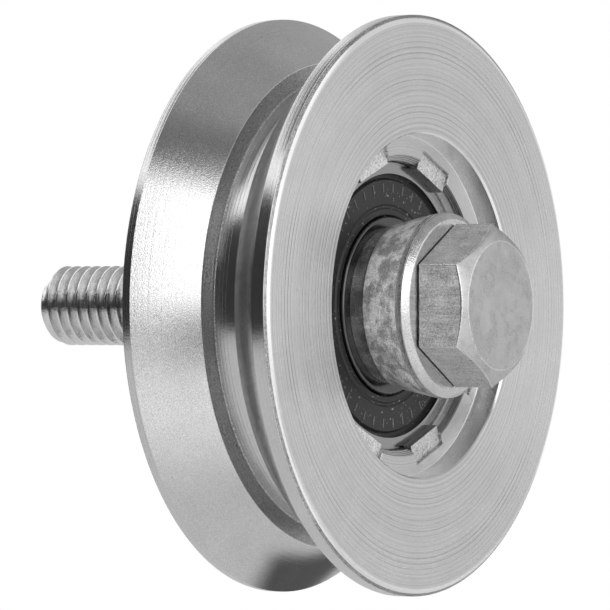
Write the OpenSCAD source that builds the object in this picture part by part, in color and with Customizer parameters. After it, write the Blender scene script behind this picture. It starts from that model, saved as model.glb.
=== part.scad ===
// V groove wheel on a sealed ball bearing, held on its bolt by two flanged bushes.
// Millimetres. The wheel's centre is the origin and it turns about Y.
// The bolt head is at -Y and the thread at +Y. +Z is up.

/* [Wheel] */
// Outside diameter over the two rims
wheel_d = 70; // [66:0.5:90]
// Width over the two faces
wheel_w = 20.4; // [18.5:0.1:26]
// Width of the cylindrical land on the front rim
front_land = 1.6; // [0.5:0.1:2.4]
// Width of the cylindrical land on the rear rim
rear_land = 1.0; // [0.5:0.1:2.4]
// How far the rims' edge chamfer runs in along the faces
rim_edge_face = 1.1; // [0.4:0.1:2]
// How far the rims' edge chamfer runs back along the lands
rim_edge_side = 0.45; // [0.2:0.05:1]

/* [Groove] */
// Height of the V's flanks, from the rims' lands to their feet
flank_h = 5.4; // [4:0.1:7]
// Width of the relief slot between the flanks' feet
relief_w = 4.6; // [3:0.1:6]
// Depth of the relief slot below the flanks' feet
relief_depth = 2.2; // [1:0.1:3]
// How much narrower the relief slot is at its floor, on each side
relief_lean = 0.3; // [0:0.05:0.8]
// Radius in the corners of the relief slot's floor
relief_round = 0.5; // [0.2:0.1:1]

/* [Recess and bearing seat] */
// Radial width of the recess's floor around the bearing
recess_floor_w = 3.2; // [2.6:0.1:5]
// Chamfer at the mouth of the recess
recess_chamfer = 0.25; // [0.1:0.05:0.6]
// Height of the lip that is staked over the bearing, from its front face
lip_h = 1.6; // [1.4:0.1:3]
// Radial width of the bevel at the mouth of the bearing seat
seat_bevel_w = 0.75; // [0.3:0.05:1.2]
// Depth of that bevel
seat_bevel_depth = 0.7; // [0.3:0.1:1.1]
// How far the shoulder behind the bearing stands in from the seat
shoulder_w = 1.7; // [1:0.1:2.2]
// Edge chamfer of the shoulder's hole
shoulder_chamfer = 0.6; // [0.2:0.1:1]

/* [Stake marks] */
// Number of stake marks around the bearing
stake_count = 8; // [4:1:10]
// Angle of the first mark from the top, clockwise from the front
stake_first_angle = 25; // [0:1:44]
// Length of a mark along the lip
stake_l = 6.6; // [3:0.1:8]
// Width of a mark across the lip
stake_w = 2.4; // [1.8:0.1:2.8]
// How far the marks' centres lie outside the bearing's edge
stake_out = 0.5; // [0.2:0.1:0.9]
// Thickness of the metal that is left over the bearing under a mark
stake_t = 1.15; // [0.4:0.05:1.3]

/* [Bearing] */
// Bore of the bearing
bearing_bore = 15; // [14:0.5:16]
// Radial height of the bearing, from its bore to its outside
bearing_h = 10; // [9:0.1:11]
// Width of the bearing
bearing_w = 11; // [10.5:0.1:12]
// Wall of each ring behind its race
race_wall = 2.0235; // [1.9:0.0005:2.2]
// Height of the inner ring's shoulders above its race
inner_shoulder_h = 1.28; // [1:0.01:1.5]
// Height of the outer ring's shoulders above its race
outer_shoulder_h = 1.08; // [0.8:0.01:1.3]
// Width of the outer ring's face, from its outside to the seal
ring_face_w = 1.55; // [1.3:0.05:1.8]
// Rounding of the rings' edges, cut as a small chamfer
ring_edge = 0.4; // [0.2:0.05:0.6]
// Number of balls
ball_count = 8; // [5:1:8]
// Running clearance between a ball and its races
ball_play = 0.06; // [0.03:0.01:0.1]

/* [Cage] */
// Thickness of the pressed cage strip
cage_t = 0.45; // [0.3:0.05:0.5]
// Radial gap between the cage and the rings' shoulders
cage_gap = 0.6; // [0.4:0.05:0.9]
// Clearance between a ball and its pocket
pocket_play = 0.12; // [0.08:0.01:0.2]
// Diameter of a rivet's shank
rivet_d = 0.8; // [0.5:0.1:1]
// Diameter of a rivet's heads
rivet_head_d = 1.5; // [1.2:0.1:1.7]
// Height of a rivet's head
rivet_head_h = 0.35; // [0.2:0.05:0.5]

/* [Seals] */
// Depth of a seal's face below the bearing's face
seal_depth = 0.4; // [0.2:0.05:0.6]
// Thickness of a seal at its bead and its lip
seal_t = 0.95; // [0.8:0.05:1.1]
// Thickness of the rubber skin over the metal insert
seal_skin = 0.35; // [0.2:0.05:0.5]
// Thickness of the metal insert
insert_t = 0.3; // [0.2:0.05:0.4]
// Gap between a seal's lip and the inner ring
lip_gap = 0.6; // [0.3:0.05:0.9]
// Radial width of a seal's lip
lip_w = 0.9; // [0.6:0.1:1.2]
// Radial width of a seal's outer bead
bead_w = 0.8; // [0.6:0.1:1.1]
// Depth of the groove that the bead snaps into
bead_groove = 0.25; // [0.15:0.05:0.4]

/* [Bushes] */
// Clearance round the bolt in both bushes, on the radius
bolt_clearance = 0.25; // [0.1:0.05:0.5]
// Radial width of the necks' faces that bear on the inner ring
neck_w = 1.9; // [1.2:0.1:2.4]
// Length of the front bush's neck
front_neck_l = 2.05; // [1.5:0.05:3]
// Radial step from the necks up to the bushes' bodies
neck_step = 0.65; // [0.3:0.05:1.2]
// How much the front bush's cone grows towards the head, on the radius
front_bush_flare = 1.1; // [0.5:0.1:2]
// How far the front bush stands out of the wheel's front face
front_proud = 4.2; // [3.6:0.1:8]
// Radius of the front bush's rounded edge
front_bush_round = 1.4; // [0.6:0.1:1.8]
// Gap between the ends of the two bushes' spigots
spigot_gap = 0.6; // [0.2:0.1:2]
// Lead chamfer at a spigot's end
spigot_chamfer = 0.4; // [0.2:0.1:0.8]
// Length of the rear bush's neck
rear_neck_l = 2.0; // [1.5:0.1:3]
// How far the rear bush stands out of the wheel's rear face
rear_proud = 2.0; // [1.5:0.1:4]
// Edge chamfer of the rear bush
rear_bush_chamfer = 0.5; // [0.2:0.1:1]
// Fitting clearance of the bearing and the spigots, on the radius
fit = 0.02; // [0.01:0.01:0.05]

/* [Bolt] */
// Thread diameter of the bolt
bolt_d = 10; // [9.6:0.1:10]
// Length of the bolt under its head
bolt_l = 58; // [50:0.5:80]
// Length of the thread
thread_l = 26; // [20:0.5:28]
// Pitch of the thread
thread_pitch = 1.5; // [1:0.25:1.75]
// Depth of the step from the shank to the thread's run-out
runout_step = 0.25; // [0.1:0.05:0.4]
// Length of the thread's run-out
runout_l = 1.5; // [1:0.1:3]
// Chamfer at the bolt's end, on the radius
bolt_end_chamfer = 1.0; // [0.5:0.1:1.4]
// Size of the hexagon across its flats
head_af = 17; // [16:0.1:18]
// Height of the head with its washer face
head_h = 6.5; // [5.5:0.1:8]
// Thickness of the washer face under the head
washer_face_t = 0.3; // [0.2:0.05:0.6]
// How far the washer face stays inside the hexagon's flats
washer_face_inset = 0.4; // [0.1:0.1:1]
// How far the crown's flat stays inside the hexagon's flats
crown_inset = 0.8; // [0.2:0.1:1.5]
// Angle of the head's crown chamfer
crown_angle = 30; // [20:1:35]
// How far the crown's shallow dish stays inside the hexagon's flats
dish_inset = 3; // [2:0.1:4]
// Depth of the dish
dish_depth = 0.35; // [0.1:0.05:0.8]

/* [Hidden] */
$fn = 96;
eps = 0.01;
spare = 1;

wheel_r = wheel_d / 2;
face_front = -wheel_w / 2;
face_rear = wheel_w / 2;
land_front = face_front + rim_edge_side + front_land;
land_rear = face_rear - rim_edge_side - rear_land;
foot_r = wheel_r - flank_h;
relief_r = foot_r - relief_depth;
relief_half = relief_w / 2;
relief_floor_half = relief_half - relief_lean;

bearing_r = bearing_bore / 2 + bearing_h;
ring_front = -bearing_w / 2;
ring_rear = bearing_w / 2;
seat_r = bearing_r + fit;
lip_front = ring_front - lip_h;
recess_r = bearing_r + recess_floor_w;
seat_mouth_r = bearing_r + seat_bevel_w;
shoulder_r = bearing_r - shoulder_w;
stake_circle_r = bearing_r + stake_out;
stake_floor = ring_front - stake_t;

inner_race_r = bearing_bore / 2 + race_wall;
outer_race_r = bearing_r - race_wall;
inner_shoulder_r = inner_race_r + inner_shoulder_h;
outer_shoulder_r = outer_race_r - outer_shoulder_h;
pitch_r = (inner_race_r + outer_race_r) / 2;
ball_r = (outer_race_r - inner_race_r) / 2;
race_r = ball_r + ball_play;
cage_in_r = inner_shoulder_r + cage_gap;
cage_out_r = outer_shoulder_r - cage_gap;
ball_step = 360 / ball_count;
pocket_r = ball_r + pocket_play;

mouth_r = bearing_r - ring_face_w;
seal_face = bearing_w / 2 - seal_depth;
seal_back = seal_face - seal_t;
bead_r = mouth_r + bead_groove - fit;
insert_r = bead_r - bead_w;
lip_r = inner_shoulder_r + lip_gap;
insert_hole_r = lip_r + lip_w;

spigot_r = bearing_bore / 2 - fit;
spigot_l = (bearing_w - spigot_gap) / 2;
bush_hole_r = bolt_d / 2 + bolt_clearance;
neck_r = bearing_bore / 2 + neck_w;
bush_r = neck_r + neck_step;
bush_front = face_front - front_proud;
bush_rear = face_rear + rear_proud;
cone_start = ring_front - front_neck_l;
cone_end = bush_front + front_bush_round;

bolt_r = bolt_d / 2;
head_seat = bush_front;
hex_rear = head_seat - washer_face_t;
head_front = head_seat - head_h;
shank_root = (head_front + hex_rear) / 2;
bolt_end = head_seat + bolt_l;
thread_start = bolt_end - thread_l;
thread_depth = 0.6134 * thread_pitch;
thread_root_w = thread_pitch / 6;
thread_flank_angle = 30;
thread_clear = 0.06 * thread_pitch;
thread_steps = 24;
thread_turns = ceil(thread_l / thread_pitch) + 1;
corner_r = head_af / sqrt(3);
crown_r = head_af / 2 - crown_inset;
dish_r = head_af / 2 - dish_inset;
washer_face_r = head_af / 2 - washer_face_inset;

BALLS = [for (i = [1 : ball_count]) str("ball_", i)];

// Points of an arc about [cx, cy], from angle a0 to a1 in n equal steps.
function arc(cx, cy, r, a0, a1, n = 6) =
    [for (i = [0 : n]) let (a = a0 + (a1 - a0) * i / n) [cx + r * cos(a), cy + r * sin(a)]];

// A turned solid: a profile of [radius, y] points spun about Y.
module turned() {
    rotate([-90, 0, 0]) rotate_extrude() children();
}

// A plain tube along Y.
module tube(r_in, r_out, y0, y1) {
    turned() polygon([[r_in, y0], [r_out, y0], [r_out, y1], [r_in, y1]]);
}

// Moves a thing to a circle about Y, at an angle clockwise from the top seen from the front.
module on_circle(angle, r, y = 0) {
    rotate([0, angle, 0]) translate([0, y, r]) children();
}

// Swaps front and rear.
module to_side(side) {
    if (side < 0) children();
    else mirror([0, 1, 0]) children();
}

module wheel_profile() {
    polygon(concat(
        [[recess_r + recess_chamfer, face_front],
         [wheel_r - rim_edge_face, face_front],
         [wheel_r, face_front + rim_edge_side],
         [wheel_r, land_front],
         [foot_r, -relief_half]],
        arc(relief_r + relief_round, -relief_floor_half + relief_round, relief_round, 270, 180),
        arc(relief_r + relief_round, relief_floor_half - relief_round, relief_round, 180, 90),
        [[foot_r, relief_half],
         [wheel_r, land_rear],
         [wheel_r, face_rear - rim_edge_side],
         [wheel_r - rim_edge_face, face_rear],
         [shoulder_r + shoulder_chamfer, face_rear],
         [shoulder_r, face_rear - shoulder_chamfer],
         [shoulder_r, ring_rear],
         [seat_r, ring_rear],
         [seat_r, lip_front + seat_bevel_depth],
         [seat_mouth_r, lip_front],
         [recess_r, lip_front],
         [recess_r, face_front + recess_chamfer]]));
}

// A block the size of one stake mark, from y0 to y1.
module stake_block(y0, y1) {
    translate([-stake_l / 2, y0, -stake_w / 2]) cube([stake_l, y1 - y0, stake_w]);
}

module stake_blocks(y0, y1) {
    for (i = [0 : stake_count - 1])
        on_circle(stake_first_angle + i * 360 / stake_count, stake_circle_r) stake_block(y0, y1);
}

module wheel() {
    color("silver") union() {
        difference() {
            turned() wheel_profile();
            stake_blocks(lip_front - eps, stake_floor);
        }
        stake_blocks(stake_floor, ring_front);
    }
}

module outer_ring_profile() {
    step = seal_back - fit;
    difference() {
        polygon([
            [mouth_r, ring_front],
            [bearing_r - ring_edge, ring_front],
            [bearing_r, ring_front + ring_edge],
            [bearing_r, ring_rear - ring_edge],
            [bearing_r - ring_edge, ring_rear],
            [mouth_r, ring_rear],
            [mouth_r, seal_face],
            [mouth_r + bead_groove, seal_face],
            [mouth_r + bead_groove, step],
            [outer_shoulder_r, step],
            [outer_shoulder_r, -step],
            [mouth_r + bead_groove, -step],
            [mouth_r + bead_groove, -seal_face],
            [mouth_r, -seal_face]]);
        translate([pitch_r, 0]) circle(r = race_r);
    }
}

module outer_ring() {
    color("gainsboro") turned() outer_ring_profile();
}

module inner_ring() {
    color("gainsboro") turned() difference() {
        polygon([
            [bearing_bore / 2 + ring_edge, ring_front],
            [inner_shoulder_r - ring_edge, ring_front],
            [inner_shoulder_r, ring_front + ring_edge],
            [inner_shoulder_r, ring_rear - ring_edge],
            [inner_shoulder_r - ring_edge, ring_rear],
            [bearing_bore / 2 + ring_edge, ring_rear],
            [bearing_bore / 2, ring_rear - ring_edge],
            [bearing_bore / 2, ring_front + ring_edge]]);
        translate([pitch_r, 0]) circle(r = race_r);
    }
}

module ball(i) {
    color("whitesmoke") on_circle((i - 0.5) * ball_step, pitch_r) sphere(r = ball_r);
}

// The rubber seal on the front; the rear one is its mirror image.
module seal(side) {
    color("dimgray") to_side(side) turned() polygon([
        [lip_r, -seal_face],
        [bead_r, -seal_face],
        [bead_r, -seal_back],
        [insert_r, -seal_back],
        [insert_r, -seal_face + seal_skin],
        [insert_hole_r, -seal_face + seal_skin],
        [insert_hole_r, -seal_back],
        [lip_r, -seal_back]]);
}

module seal_insert(side) {
    color("slategray") to_side(side)
        tube(insert_hole_r, insert_r, -seal_face + seal_skin, -seal_face + seal_skin + insert_t);
}

// One pressed half of the cage: flats between the balls and a shell round each ball.
module cage_half(side) {
    color("tan") to_side(side) difference() {
        union() {
            tube(cage_in_r, cage_out_r, -cage_t, 0);
            intersection() {
                tube(cage_in_r, cage_out_r, -pocket_r - 2 * cage_t, 0);
                union() for (i = [1 : ball_count])
                    on_circle((i - 0.5) * ball_step, pitch_r) sphere(r = pocket_r + cage_t);
            }
        }
        for (i = [1 : ball_count]) {
            on_circle((i - 0.5) * ball_step, pitch_r) sphere(r = pocket_r);
            on_circle(i * ball_step, pitch_r) rotate([90, 0, 0])
                cylinder(d = rivet_d, h = 4 * cage_t, center = true);
        }
    }
}

module cage_rivets() {
    color("silver") for (i = [1 : ball_count]) on_circle(i * ball_step, pitch_r)
        turned() polygon([
            [0, -cage_t - rivet_head_h],
            [rivet_head_d / 2, -cage_t - rivet_head_h],
            [rivet_head_d / 2, -cage_t],
            [rivet_d / 2, -cage_t],
            [rivet_d / 2, cage_t],
            [rivet_head_d / 2, cage_t],
            [rivet_head_d / 2, cage_t + rivet_head_h],
            [0, cage_t + rivet_head_h]]);
}

module front_bush() {
    color("lightgray") turned() polygon(concat(
        [[bush_hole_r, bush_front]],
        arc(bush_r + front_bush_flare - front_bush_round, cone_end, front_bush_round, -90, 0),
        [[bush_r, cone_start],
         [neck_r, cone_start],
         [neck_r, ring_front],
         [spigot_r, ring_front],
         [spigot_r, ring_front + spigot_l - spigot_chamfer],
         [spigot_r - spigot_chamfer, ring_front + spigot_l],
         [bush_hole_r, ring_front + spigot_l]]));
}

module rear_bush() {
    color("lightgray") turned() polygon([
        [bush_hole_r, ring_rear - spigot_l],
        [spigot_r - spigot_chamfer, ring_rear - spigot_l],
        [spigot_r, ring_rear - spigot_l + spigot_chamfer],
        [spigot_r, ring_rear],
        [neck_r, ring_rear],
        [neck_r, ring_rear + rear_neck_l],
        [bush_r, ring_rear + rear_neck_l],
        [bush_r, bush_rear - rear_bush_chamfer],
        [bush_r - rear_bush_chamfer, bush_rear],
        [bush_hole_r, bush_rear]]);
}

// The hexagon, its crown turned to a cone and its dish.
module bolt_head() {
    cone_r = corner_r + spare;
    difference() {
        intersection() {
            translate([0, head_front, 0]) rotate([-90, 0, 0]) rotate([0, 0, 30])
                cylinder(r = corner_r, h = hex_rear - head_front, $fn = 6);
            turned() polygon([
                [0, head_front],
                [crown_r, head_front],
                [cone_r, head_front + (cone_r - crown_r) * tan(crown_angle)],
                [cone_r, hex_rear + spare],
                [0, hex_rear + spare]]);
        }
        turned() polygon([
            [0, head_front - eps],
            [dish_r, head_front - eps],
            [dish_r, head_front],
            [0, head_front + dish_depth]]);
    }
}

// The thread's groove where the helix has made that many turns: a V with a flat root, open outside.
function groove_section(turn, depth) =
    let (angle = 360 * turn, y = thread_start + thread_pitch * turn, half = thread_root_w / 2,
         outside = half + (depth + thread_clear) * tan(thread_flank_angle))
    [for (corner = [[bolt_r - depth, -half], [bolt_r + thread_clear, -outside],
                    [bolt_r + thread_clear, outside], [bolt_r - depth, half]])
        [corner[0] * sin(angle), y + corner[1], corner[0] * cos(angle)]];

// The groove sinks in over half a turn and runs out of the bolt's end.
module thread_groove() {
    last = thread_turns * thread_steps;
    polyhedron(
        [for (i = [0 : last]) each groove_section(i / thread_steps,
            min(thread_depth, 2 * thread_depth * i / thread_steps - thread_clear / 2))],
        concat(
            [[3, 2, 1, 0], [for (k = [0 : 3]) 4 * last + k]],
            [for (i = [0 : last - 1], k = [0 : 3]) each
                let (a = 4 * i + k, b = 4 * i + (k + 1) % 4) [[a, b, b + 4], [a, b + 4, a + 4]]]));
}

module bolt() {
    color("gainsboro") difference() {
        union() {
            bolt_head();
            turned() polygon([
                [0, shank_root],
                [washer_face_r, shank_root],
                [washer_face_r, head_seat],
                [bolt_r, head_seat],
                [bolt_r, thread_start - runout_l],
                [bolt_r - runout_step, thread_start - runout_l / 2],
                [bolt_r, thread_start],
                [bolt_r, bolt_end - bolt_end_chamfer],
                [bolt_r - bolt_end_chamfer, bolt_end],
                [0, bolt_end]]);
        }
        thread_groove();
    }
}

wheel();
outer_ring();
seal(-1);  // front_seal
seal_insert(-1);  // front_seal_insert
seal(1);  // rear_seal
seal_insert(1);  // rear_seal_insert
for (i = [1 : ball_count]) ball(i);
cage_half(-1);  // cage_front
cage_half(1);  // cage_rear
cage_rivets();
inner_ring();
front_bush();
rear_bush();
bolt();
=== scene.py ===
"""The looks of a V groove wheel: turned and zinc-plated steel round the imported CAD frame.

The wheel's centre is the origin, its front face looks along -Y and +Z is up. Sizes are in
millimetres and are turned into metres where a mesh is made. Turned shapes are closed outlines of
(radius, y) points spun about Y. Angles round the axis run clockwise from the top, seen from the
front.
"""
import math
import random

import bmesh
import bpy
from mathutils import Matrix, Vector


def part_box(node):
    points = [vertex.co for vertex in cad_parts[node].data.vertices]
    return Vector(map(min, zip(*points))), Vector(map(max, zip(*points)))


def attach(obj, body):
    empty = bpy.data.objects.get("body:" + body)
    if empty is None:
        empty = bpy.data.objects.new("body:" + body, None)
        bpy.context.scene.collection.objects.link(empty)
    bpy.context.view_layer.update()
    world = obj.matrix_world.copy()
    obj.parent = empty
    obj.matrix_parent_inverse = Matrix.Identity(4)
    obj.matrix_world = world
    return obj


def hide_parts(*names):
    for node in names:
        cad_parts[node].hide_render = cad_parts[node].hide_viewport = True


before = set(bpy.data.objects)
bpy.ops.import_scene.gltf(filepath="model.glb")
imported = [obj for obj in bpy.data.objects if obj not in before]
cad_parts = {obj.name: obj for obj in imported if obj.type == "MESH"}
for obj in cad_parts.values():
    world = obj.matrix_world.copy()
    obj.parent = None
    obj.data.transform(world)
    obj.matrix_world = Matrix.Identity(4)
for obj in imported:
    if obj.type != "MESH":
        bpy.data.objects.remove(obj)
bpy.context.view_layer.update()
MM = 0.001

COLUMNS = 360           # columns round a large turned piece
BUSH_COLUMNS = 240      # columns round a bush
ARC_STEPS = 5           # straight steps in each rounded corner
RACE_STEPS = 12         # straight steps across a ball's race
SHARP = math.radians(28)    # edges at least this sharp aren't shaded smooth


# ---------------------------------------------------------------- sizes


def low(node, axis):
    """The lowest coordinate of a CAD node along an axis, in millimetres."""
    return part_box(node)[0][axis] / MM


def high(node, axis):
    """The highest coordinate of a CAD node along an axis, in millimetres."""
    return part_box(node)[1][axis] / MM


X, Y, Z = 0, 1, 2
PLAY = 0.02             # how far a clothed surface stands back from a neighbour it fits

# The wheel
WHEEL_R = high("wheel", Z)
FACE_FRONT, FACE_REAR = low("wheel", Y), high("wheel", Y)
RING_R = high("outer_ring", Z)
RING_FRONT, RING_REAR = low("outer_ring", Y), high("outer_ring", Y)
RIM_EDGE_FACE, RIM_EDGE_SIDE = 0.62, 0.45   # the rim's bevel, along the face and the side
RIM_ROUND = 1.0
FRONT_LAND, REAR_LAND = 1.6, 1.0            # the cylindrical strips beside the V
FOOT_R = WHEEL_R - 5.4                      # where the V's flanks meet the relief slot
RELIEF_R = FOOT_R - 2.2
RELIEF_HALF, RELIEF_LEAN, RELIEF_ROUND = 2.3, 0.3, 0.25
RECESS_R, RECESS_CHAMFER = RING_R + 3.2, 0.25
LIP_FRONT = RING_FRONT - 1.6
SEAT_R = RING_R + PLAY
SEAT_MOUTH_R, SEAT_BEVEL_DEPTH = RING_R + 0.75, 0.7
SEAT_RIDGES = 4
SHOULDER_R, SHOULDER_CHAMFER = RING_R - 1.7, 0.6

# The stake marks
STAKES, STAKE_FIRST = 8, 25.0
STAKE_L, STAKE_W = 6.6, 2.4
STAKE_CIRCLE_R = RING_R + 0.5
STAKE_FLOOR = RING_FRONT - 1.15
STAKE_SWING, STAKE_SINK = 1.6, 0.04         # how unevenly they were struck: degrees, depth
STAKE_RIM, STAKE_BULGE = 0.09, 0.1          # bevels of the pocket's mouth and of the pad

# The bearing
INNER_RING_R = high("inner_ring", Z)
OUTER_RING_ROUND, INNER_RING_ROUND = 0.4, 0.35
RING_WALL = 1.55                            # radial width of each step of the outer ring
MOUTH_R = RING_R - RING_WALL
OUTER_SHOULDER_R = MOUTH_R - RING_WALL
BORE_R = 7.5
BALL_R = (high("ball_1", Y) - low("ball_1", Y)) / 2
PITCH_R = (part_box("ball_1")[0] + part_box("ball_1")[1]).length / 2 / MM
RACE_R = BALL_R + 0.06
BALLS = 8

# The seals
SEAL_R = high("front_seal", Z)
SEAL_FACE, SEAL_BACK = low("front_seal", Y), high("front_seal", Y)
INSERT_R = high("front_seal_insert", Z)
INSERT_FRONT = low("front_seal_insert", Y)
SEAL_GAP = 0.12                             # from the lip to the inner ring
TICKS, TICK_L, TICK_W, TICK_H = 40, 1.1, 0.16, 0.06
TICK_R = (INNER_RING_R + RING_R) / 2 + 0.1
TICK_ROOT = 0.2                             # how deep a tick is sunk in the seal

# The bushes
BUSH_FRONT, BUSH_REAR = low("front_bush", Y), high("rear_bush", Y)
FRONT_BUSH_R, REAR_BUSH_R = high("front_bush", Z), high("rear_bush", Z)
FRONT_SPIGOT_END, REAR_SPIGOT_END = high("front_bush", Y), low("rear_bush", Y)
BUSH_HOLE_R = 5.25
NECK_R = 9.4
NECK_FRONT, NECK_REAR = RING_FRONT - 2.05, RING_REAR + 2.0
SPIGOT_R, SPIGOT_CHAMFER = BORE_R - PLAY, 0.4
BUSH_CHAMFER, BUSH_LAND = 0.8, 0.78
REAR_CHAMFER, HOLE_CHAMFER = 0.5, 0.3

# The bolt
HEAD_FRONT, BOLT_END = low("bolt", Y), high("bolt", Y)
HEAD_HALF_AF = high("bolt", X)
WASHER_T, WASHER_R = 0.15, HEAD_HALF_AF - 0.4
HEX_REAR = BUSH_FRONT - WASHER_T
CROWN_R, CROWN_ANGLE = HEAD_HALF_AF - 0.8, math.radians(30)
DISH_R, DISH_DEPTH = HEAD_HALF_AF - 3.0, 0.35
SHANK_R = 5.0
CREST_R = SHANK_R - PLAY
PITCH = 1.5
THREAD_START = BOLT_END - 26.0
THREAD_ROOT_R = SHANK_R - 0.6134 * PITCH    # the depth of a metric thread
THREAD_LEAD_IN = 0.5                        # plain shank kept in the thread's rows
THREAD_FADE = 1.2                           # turns in which the thread reaches its depth
END_CHAMFER = 1.0


# ---------------------------------------------------------------- shader nodes


class Shader:
    """Builds one material's node tree. Lengths in the tree are in millimetres."""

    def __init__(self, name):
        self.material = bpy.data.materials.new(name)
        self.material.use_nodes = True
        self.tree = self.material.node_tree
        self.surface = self.tree.nodes["Principled BSDF"]
        coordinates = self.add("ShaderNodeTexCoord")
        scaled = self.vector("SCALE", coordinates.outputs["Object"])
        scaled.node.inputs["Scale"].default_value = 1 / MM
        self.place = scaled
        parts = self.add("ShaderNodeSeparateXYZ")
        self.link(scaled, parts.inputs[0])
        self.y = parts.outputs["Y"]
        flat = self.vector("MULTIPLY", scaled, (1, 0, 1))
        self.radius = self.vector("LENGTH", flat)
        self.round = self.vector("NORMALIZE", flat)

    def add(self, kind):
        """A new node of that kind."""
        return self.tree.nodes.new(kind)

    def link(self, source, target):
        self.tree.links.new(source, target)

    def feed(self, socket, value):
        """Links a socket, or sets a plain value."""
        if isinstance(value, bpy.types.NodeSocket):
            self.link(value, socket)
        else:
            socket.default_value = value

    def vector(self, operation, first, second=None):
        """The result of a vector operation."""
        node = self.add("ShaderNodeVectorMath")
        node.operation = operation
        self.feed(node.inputs[0], first)
        if second is not None:
            self.feed(node.inputs[1], second)
        return node.outputs["Value" if operation == "LENGTH" else "Vector"]

    def math(self, operation, first, second=0.0, third=0.0):
        """The result of an operation on numbers."""
        node = self.add("ShaderNodeMath")
        node.operation = operation
        for socket, value in zip(node.inputs, (first, second, third)):
            self.feed(socket, value)
        return node.outputs[0]

    def sum(self, *terms):
        """The sum of (socket, weight) pairs."""
        total = 0.0
        for socket, weight in terms:
            total = self.math("MULTIPLY_ADD", socket, weight, total)
        return total

    def noise(self, place, scale, detail=2.0, roughness=0.5):
        """Noise in space, with about scale lumps to a millimetre."""
        node = self.add("ShaderNodeTexNoise")
        node.inputs["Scale"].default_value = scale
        node.inputs["Detail"].default_value = detail
        node.inputs["Roughness"].default_value = roughness
        self.link(place, node.inputs["Vector"])
        return node.outputs[0]

    def noise_along(self, length, scale, detail=2.0):
        """Noise that changes along one length only."""
        node = self.add("ShaderNodeTexNoise")
        node.noise_dimensions = "1D"
        node.inputs["Scale"].default_value = scale
        node.inputs["Detail"].default_value = detail
        self.link(length, node.inputs["W"])
        return node.outputs[0]

    def ramp(self, value, low_in, high_in, low_out, high_out):
        """The value mapped from one range to another, and kept inside it."""
        node = self.add("ShaderNodeMapRange")
        node.inputs["From Min"].default_value = low_in
        node.inputs["From Max"].default_value = high_in
        node.inputs["To Min"].default_value = low_out
        node.inputs["To Max"].default_value = high_out
        self.link(value, node.inputs["Value"])
        return node.outputs[0]

    def grey(self, value):
        """A neutral grey of that brightness."""
        node = self.add("ShaderNodeCombineColor")
        self.feed(node.inputs[0], value)
        self.feed(node.inputs[1], value)
        self.feed(node.inputs[2], value)
        return node.outputs[0]

    def bump(self, height_mm):
        """A bump whose height is in millimetres."""
        node = self.add("ShaderNodeBump")
        node.inputs["Strength"].default_value = 1.0
        node.inputs["Distance"].default_value = MM
        self.link(height_mm, node.inputs["Height"])
        return node.outputs[0]


def turned_steel(name, across, along, level=0.7, rough=0.2, aniso=0.5, feed=0.65, lines=1.0,
                 grain=1.0, blotch=0.08, streak=0.0):
    """Turned and plated steel, with the lines that the tool left, feed apart.

    The tool moved outwards by across and towards the rear by along. lines is the lines' depth,
    grain that of the plating's pits, streak that of radial chatter, and blotch the unevenness
    of the tone. aniso stretches the gloss round the axle.
    """
    s = Shader(name)
    way = s.sum((s.radius, across), (s.y, along))
    way = s.math("MULTIPLY_ADD", s.noise(s.place, 0.06, 1.0), 0.25, way)
    phase = s.math("PINGPONG", s.math("DIVIDE", way, feed), 0.5)
    coarse = s.noise_along(way, 0.5, 2.0)
    line = s.math("MULTIPLY", s.ramp(phase, 0.0, 0.2, 1.0, 0.0),
                  s.ramp(coarse, 0.3, 0.65, 0.2, 1.0))
    fine = s.noise_along(way, 2.4 / feed, 3.0)
    drawn = s.add("ShaderNodeCombineXYZ")
    s.link(way, drawn.inputs["Y"])
    drawn = s.vector("ADD", drawn.outputs[0], s.vector("MULTIPLY", s.round, (20, 0, 20)))
    pits = s.noise(drawn, 11.0, 1.0, 0.5)
    chatter = s.noise(s.round, 26.0, 2.0)
    height = s.sum(
        (line, -0.03 * lines * feed), (fine, 0.03 * lines * feed), (pits, 0.0105 * grain),
        (s.math("MULTIPLY", chatter, s.radius), 0.0012 * streak))
    tone = s.noise(s.place, 0.22, 3.0, 0.55)
    spots = s.ramp(s.noise(drawn, 10.0, 1.0, 0.5), 0.35, 0.65, 0.0, 1.0)
    light = s.sum((tone, blotch), (spots, -0.16 * grain), (fine, 0.2 * lines),
                  (line, -0.16 * lines))
    middle = level - 0.5 * blotch + 0.08 * grain - 0.07 * lines
    s.link(s.grey(s.math("ADD", light, middle)), s.surface.inputs["Base Color"])
    s.surface.inputs["Metallic"].default_value = 1.0
    s.surface.inputs["Anisotropic"].default_value = aniso
    s.surface.inputs["Anisotropic Rotation"].default_value = 0.25
    wear = s.sum((tone, 0.08), (fine, 0.06 * lines), (spots, 0.03))
    s.link(s.math("ADD", wear, rough - 0.08), s.surface.inputs["Roughness"])
    s.link(s.bump(height), s.surface.inputs["Normal"])
    tangent = s.add("ShaderNodeTangent")
    tangent.direction_type = "RADIAL"
    tangent.axis = "Y"
    s.link(tangent.outputs[0], s.surface.inputs["Tangent"])
    return s.material


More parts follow.
